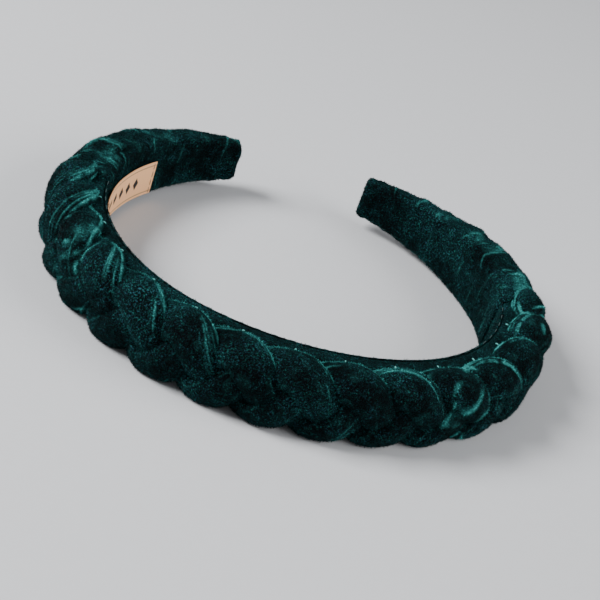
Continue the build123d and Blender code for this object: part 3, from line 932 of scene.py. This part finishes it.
def wrap_rings(side, past, length, across, up):
    """Rings of a smooth wrap, and the middle of each."""
    measures = np.array(WRAP_SHAPE) * MM
    bell = np.hanning(35) / np.hanning(35).sum()  # rounds off the corners between the measures
    half, rise, outer = (
        np.convolve(np.pad(np.interp(past, measures[:, 0], column), 17, mode="edge"), bell, "valid")
        for column in measures.T[1:]
    )
    to_end = np.clip(np.minimum(past + WRAP_LAP, length - past) / HEM_ROUND, 0.02, 1)
    shrink = 1 - (1 - np.sqrt(1 - (1 - to_end) ** 2)) * np.where(past < length / 2, 0.08, 0.16)
    inner = WRAP_INNER[side]
    offsets = ((outer + inner) / 2)[:, None] + ((outer - inner) / 2 * shrink)[:, None] * across
    heights = rise[:, None] + (half * shrink)[:, None] * up
    near_mouth = np.exp(-(past[:, None] + WRAP_LAP) / (9 * MM))
    further = WRAP_SLANT[side] * np.clip(-across, 0, 1)[None, :] * near_mouth
    reach = PLAIT_CENTRE + side * WRAP_MOUTH + side * past
    rings = on_hoop(reach[:, None] - side * further, offsets, heights)
    return rings, on_hoop(reach, outer / 2, rise)[:, None, :]


def wrap_creases(side, rings, past, up):
    """How far the creases round a wrap stand out, and the painted highlight line along each crest.
    They are short and slanting, close together at the gathered mouth, with soft swells between them."""
    wander = ruffle(rings, 11 * MM, 31 + side)
    raised = np.zeros(rings.shape[:2])
    crest = np.zeros(rings.shape[:2])
    for number, (place, wide, high) in enumerate(WRAP_CREASES):
        slant = 2.5 * sin(3 * number + side) * up[None, :] + (1.5 + 1.8 * wide) * wander
        apart = (past[:, None] / MM - place + slant) / wide
        broken = np.clip(2.4 * ruffle(rings, 4.5 * MM, 50 + 2 * number + side), 0, 1)
        raised += high * MM * np.exp(-((apart / 1.6) ** 2)) * (0.4 + 0.6 * broken)
        crest = np.maximum(crest, broken * np.exp(-((apart * wide / CREASE_LINE) ** 2)))
    return raised, crest


for side, name in ((-1, "left"), (1, "right")):
    length = HOOP_REACH - abs(PLAIT_CENTRE + side * WRAP_MOUTH)
    past = strip_stations(-WRAP_LAP, length, WRAP_RINGS, HEM_ROUND)
    angles = np.linspace(0, 2 * pi, WRAP_AROUND, endpoint=False)
    across, up = rounded(angles, np.where(np.cos(angles) < 0, 6.0, 2.4))
    rings, middle = wrap_rings(side, past, length, across, up)
    raised, crest = wrap_creases(side, rings, past, up)
    taut = np.where(across > -0.6, 1.0, 0.3)[None, :]  # on the inner face the cloth lies flatter
    swell = (raised + SWELL * ruffle(rings, 9 * MM, 54 + side)) * taut
    to_tip = np.clip(1 - (length - past) / FRAY_LENGTH, 0, 1)[:, None]
    swell += WRINKLE * ruffle(rings, 2 * MM, 40 + side) + FRAY * to_tip * ruffle(rings, 3 * MM, 44)
    rings = rings + unit(rings - middle) * swell[..., None]
    rings[..., 2] = np.maximum(rings[..., 2], FLOOR_CLEAR)
    if side < 0:
        rings, crest = rings[::-1], crest[::-1]
    wrap = skin(f"arm_wrap_{name}_velvet", rings, VELVET)
    # Painted sheen: pale patches along the top and outer edge, and highlight lines on the crease crests,
    # stronger there.
    corner = np.clip(0.7 * up + 0.5 * across, 0, 1)[None, :]
    speckled = np.clip(ruffle(rings, 1.2 * MM, 59) + 0.5, 0, 1)
    pale = np.clip(2.0 * ruffle(rings, 6 * MM, 58) - 0.2, 0, 0.7) * corner * speckled
    note(wrap, "worn", np.clip(0.7 * crest * (0.3 + corner) + pale, 0, 1))
    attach(wrap, "root")
    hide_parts(f"arm_wrap_{name}")
    nap(wrap, f"arm_wrap_{name}_pile", 20 + side)

    # Slip stitches close the wrap along the lower corner of its inner face.
    seam = rings[:, int(np.argmin(np.abs(angles - SEAM_ANGLE)))]
    walked = past if side > 0 else past[::-1]
    wanted = np.arange(SEAM_CLEAR, length - SEAM_CLEAR, STITCH_PITCH)
    near = [int(np.argmin(np.abs(walked - distance))) for distance in wanted]
    along = np.gradient(seam, axis=0)[near]
    outwards = seam[near] - rings[near].mean(1)
    stitches = sew(
        f"wrap_slip_stitches_{name}", seam[near], along, outwards, STITCH_LENGTH,
        arch=WRAP_THREAD_WIDTH, width=WRAP_THREAD_WIDTH,
    )
    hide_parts(f"wrap_stitches_{name}")


# ---- Woven label ----
# A peach satin tab, woven with a plain border and a row of small lozenges, folded under at
# its ends and sewn on the inner face of the left arm.

LABEL_TIP_END = -127 * MM
LABEL_CROWN_END = -90 * MM
LABEL_HALF = 5.8 * MM
LABEL_DROP = 1.8 * MM
LABEL_THICKNESS = 0.35 * MM
LABEL_OFFSET = -1.15 * MM  # its middle, clear of the pile that it lies on
SATIN_SHADED = (0.96, 0.5, 0.24, 1)
SATIN_LIT = (1.0, 0.58, 0.3, 1)
DARK_WEFT = (0.012, 0.011, 0.012, 1)
# Sizes of the woven pattern: shares of the label's length, along it, and of its height, up it.
LOZENGE_PITCH = 1 / 8
LOZENGES = 5
LOZENGE_HALF = 0.3  # of the pitch
LOZENGE_SQUAT = 1.6  # its width in pitches over its height in label heights
BORDER_FROM_MIDDLE = 0.4
BORDER_HALF = 0.018
BORDER_STRENGTH = 0.55  # it is woven thinner than the lozenges


def label_finish():
    """Peach satin, a thin dark border and a row of lozenges in a dark weft."""
    satin = Recipe("peach_satin", {"Specular IOR Level": 0.2})
    along = satin.noted("label_along")
    from_centre = satin.maths("ABSOLUTE", along - 0.5)
    from_middle = satin.maths("ABSOLUTE", satin.noted("label_high") - 0.5)
    sockets = {"Vector": satin.place(), "Scale": 900.0}
    threads = satin.add("ShaderNodeTexWave", {"bands_direction": "Z"}, sockets)
    slubs = satin.noise(satin.place(stretch=(1, 1, 6)), scale=700.0, detail=3.0)
    ground = satin.blend(0.5 * slubs + 0.5 * threads, SATIN_SHADED, SATIN_LIT)
    cell = satin.maths("PINGPONG", along * (1 / LOZENGE_PITCH) - 0.5, 0.5)
    lozenge = satin.maths("ABSOLUTE", cell - 0.5) + from_middle * LOZENGE_SQUAT
    inside = satin.maths("LESS_THAN", lozenge, LOZENGE_HALF)
    in_row = satin.maths("LESS_THAN", from_centre, LOZENGES * LOZENGE_PITCH / 2)
    from_border = satin.maths("ABSOLUTE", from_middle - BORDER_FROM_MIDDLE)
    border = satin.maths("LESS_THAN", from_border, BORDER_HALF)
    dark = satin.maths("MAXIMUM", inside * in_row, border * BORDER_STRENGTH)
    satin.surface("Base Color", satin.blend(dark, ground, DARK_WEFT))
    satin.surface("Roughness", 0.36 + 0.25 * slubs)
    satin.relief(threads + 0.6 * dark, distance=0.08 * MM)
    return satin.material


label_stations = np.linspace(LABEL_TIP_END, LABEL_CROWN_END, 90)
across, up = flat_section(LABEL_THICKNESS, LABEL_HALF, side_points=40)
walk = np.stack([label_stations, 0 * label_stations, 0 * label_stations], -1)
bow = 0.12 * MM * ruffle(walk, 9 * MM, 60)
offsets = LABEL_OFFSET + bow[:, None] + across[None, :]
rings = on_hoop(label_stations[:, None], offsets, up[None, :] - LABEL_DROP)
woven_label = skin("woven_label_satin", rings, label_finish())
label_along = (label_stations - LABEL_TIP_END) / (LABEL_CROWN_END - LABEL_TIP_END)
note(woven_label, "label_along", np.repeat(label_along, len(up)))
note(woven_label, "label_high", np.tile((up / LABEL_HALF + 1) / 2, len(label_stations)))
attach(woven_label, "root")
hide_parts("woven_label")


# ---- Label stitches ----
# Four upright stitches in thread to match the satin hold each end of the label.

LABEL_THREAD = thread_finish("peach_thread", (0.5, 0.3, 0.19, 1), (0.72, 0.47, 0.31, 1))
LABEL_THREAD_WIDTH = 0.3 * MM
LABEL_ARCH = 0.16 * MM
END_STITCHES = 4  # at each end
STITCH_IN = 1 * MM  # from each end
ends = np.repeat([LABEL_TIP_END + STITCH_IN, LABEL_CROWN_END - STITCH_IN], END_STITCHES)
shares = (np.arange(END_STITCHES) + 0.5) * 2 / END_STITCHES - 1
heights = np.tile(shares, 2) * LABEL_HALF - LABEL_DROP
places = on_hoop(ends, LABEL_OFFSET - LABEL_THICKNESS / 2, heights)
uprights = np.tile([0, 0, 1.0], (len(ends), 1))
label_stitches = sew(
    "label_end_stitches", places, uprights, -hoop(ends)[1], STITCH_LENGTH, LABEL_THREAD,
    arch=LABEL_ARCH, width=LABEL_THREAD_WIDTH,
)
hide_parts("label_stitches")


# ---- Camera, light and floor ----
# The band lies on its side on a pale floor, under a soft light from the upper left and a
# broader, weaker one from the right.

AZIMUTH = radians(-11.76)
ELEVATION = radians(31.01)
ROLL = radians(20.76)
DISTANCE = 377.6 * MM
LENS = 75.5
AIM_RIGHT = 0.24 * MM
AIM_UP = 10.11 * MM
AIM_DEPTH = 53.0 * MM  # from the crown to the middle of the band

back = Vector((sin(AZIMUTH) * cos(ELEVATION), -cos(AZIMUTH) * cos(ELEVATION), sin(ELEVATION)))
level_right = (-back).cross(Vector((0, 0, 1))).normalized()
level_up = level_right.cross(-back)
right = cos(ROLL) * level_right + sin(ROLL) * level_up
upright = -sin(ROLL) * level_right + cos(ROLL) * level_up
centre = Vector((0, CROWN_Y + AIM_DEPTH, MIDDLE_Z))

camera = bpy.data.objects.new("camera", bpy.data.cameras.new("camera"))
camera.data.lens = LENS
camera.data.clip_start = 0.01
camera.matrix_world = Matrix.Translation(
    centre - AIM_RIGHT * right - AIM_UP * upright + DISTANCE * back
) @ Matrix((right, upright, back)).transposed().to_4x4()
bpy.context.scene.collection.objects.link(camera)
bpy.context.scene.camera = camera


def soft_light(name, direction, distance, size, power):
    """A square area light that faces the band from a direction."""
    light = bpy.data.lights.new(name, "AREA")
    light.size = size
    light.energy = power
    lamp = bpy.data.objects.new(name, light)
    lamp.location = centre + direction.normalized() * distance
    lamp.rotation_euler = direction.to_track_quat("Z", "Y").to_euler()
    bpy.context.scene.collection.objects.link(lamp)


from_upper_left = -0.6 * right + 0.75 * upright + 0.55 * back
soft_light("key_light", from_upper_left, distance=1.2, size=0.5, power=25.0)
soft_light("fill_light", right + 0.3 * back, distance=1.3, size=1.0, power=18.0)

SKY = (0.78, 0.79, 0.81, 1)
SKY_STRENGTH = 0.34
world = bpy.data.worlds.new("studio")
world.use_nodes = True
sky = world.node_tree.nodes["Background"].inputs
sky["Color"].default_value = SKY
sky["Strength"].default_value = SKY_STRENGTH
bpy.context.scene.world = world

FLOOR_HALF = 4.0
PAPER_SHADED = (0.60, 0.61, 0.63, 1)
PAPER_LIT = (0.62, 0.63, 0.65, 1)
paper = Recipe("pale_backdrop", {"Specular IOR Level": 0.15})
grain = paper.noise(paper.place(), scale=300.0, detail=3.0)
paper.surface("Base Color", paper.blend(grain, PAPER_SHADED, PAPER_LIT))
paper.surface("Roughness", 0.75 + 0.1 * grain)
square = ((-1, -1), (1, -1), (1, 1), (-1, 1))
corners = [(x * FLOOR_HALF, y * FLOOR_HALF, 0) for x, y in square]
floor_mesh = bpy.data.meshes.new("floor")
floor_mesh.from_pydata(corners, [], [(0, 1, 2, 3)])
floor_mesh.materials.append(paper.material)
floor = bpy.data.objects.new("floor", floor_mesh)
bpy.context.scene.collection.objects.link(floor)
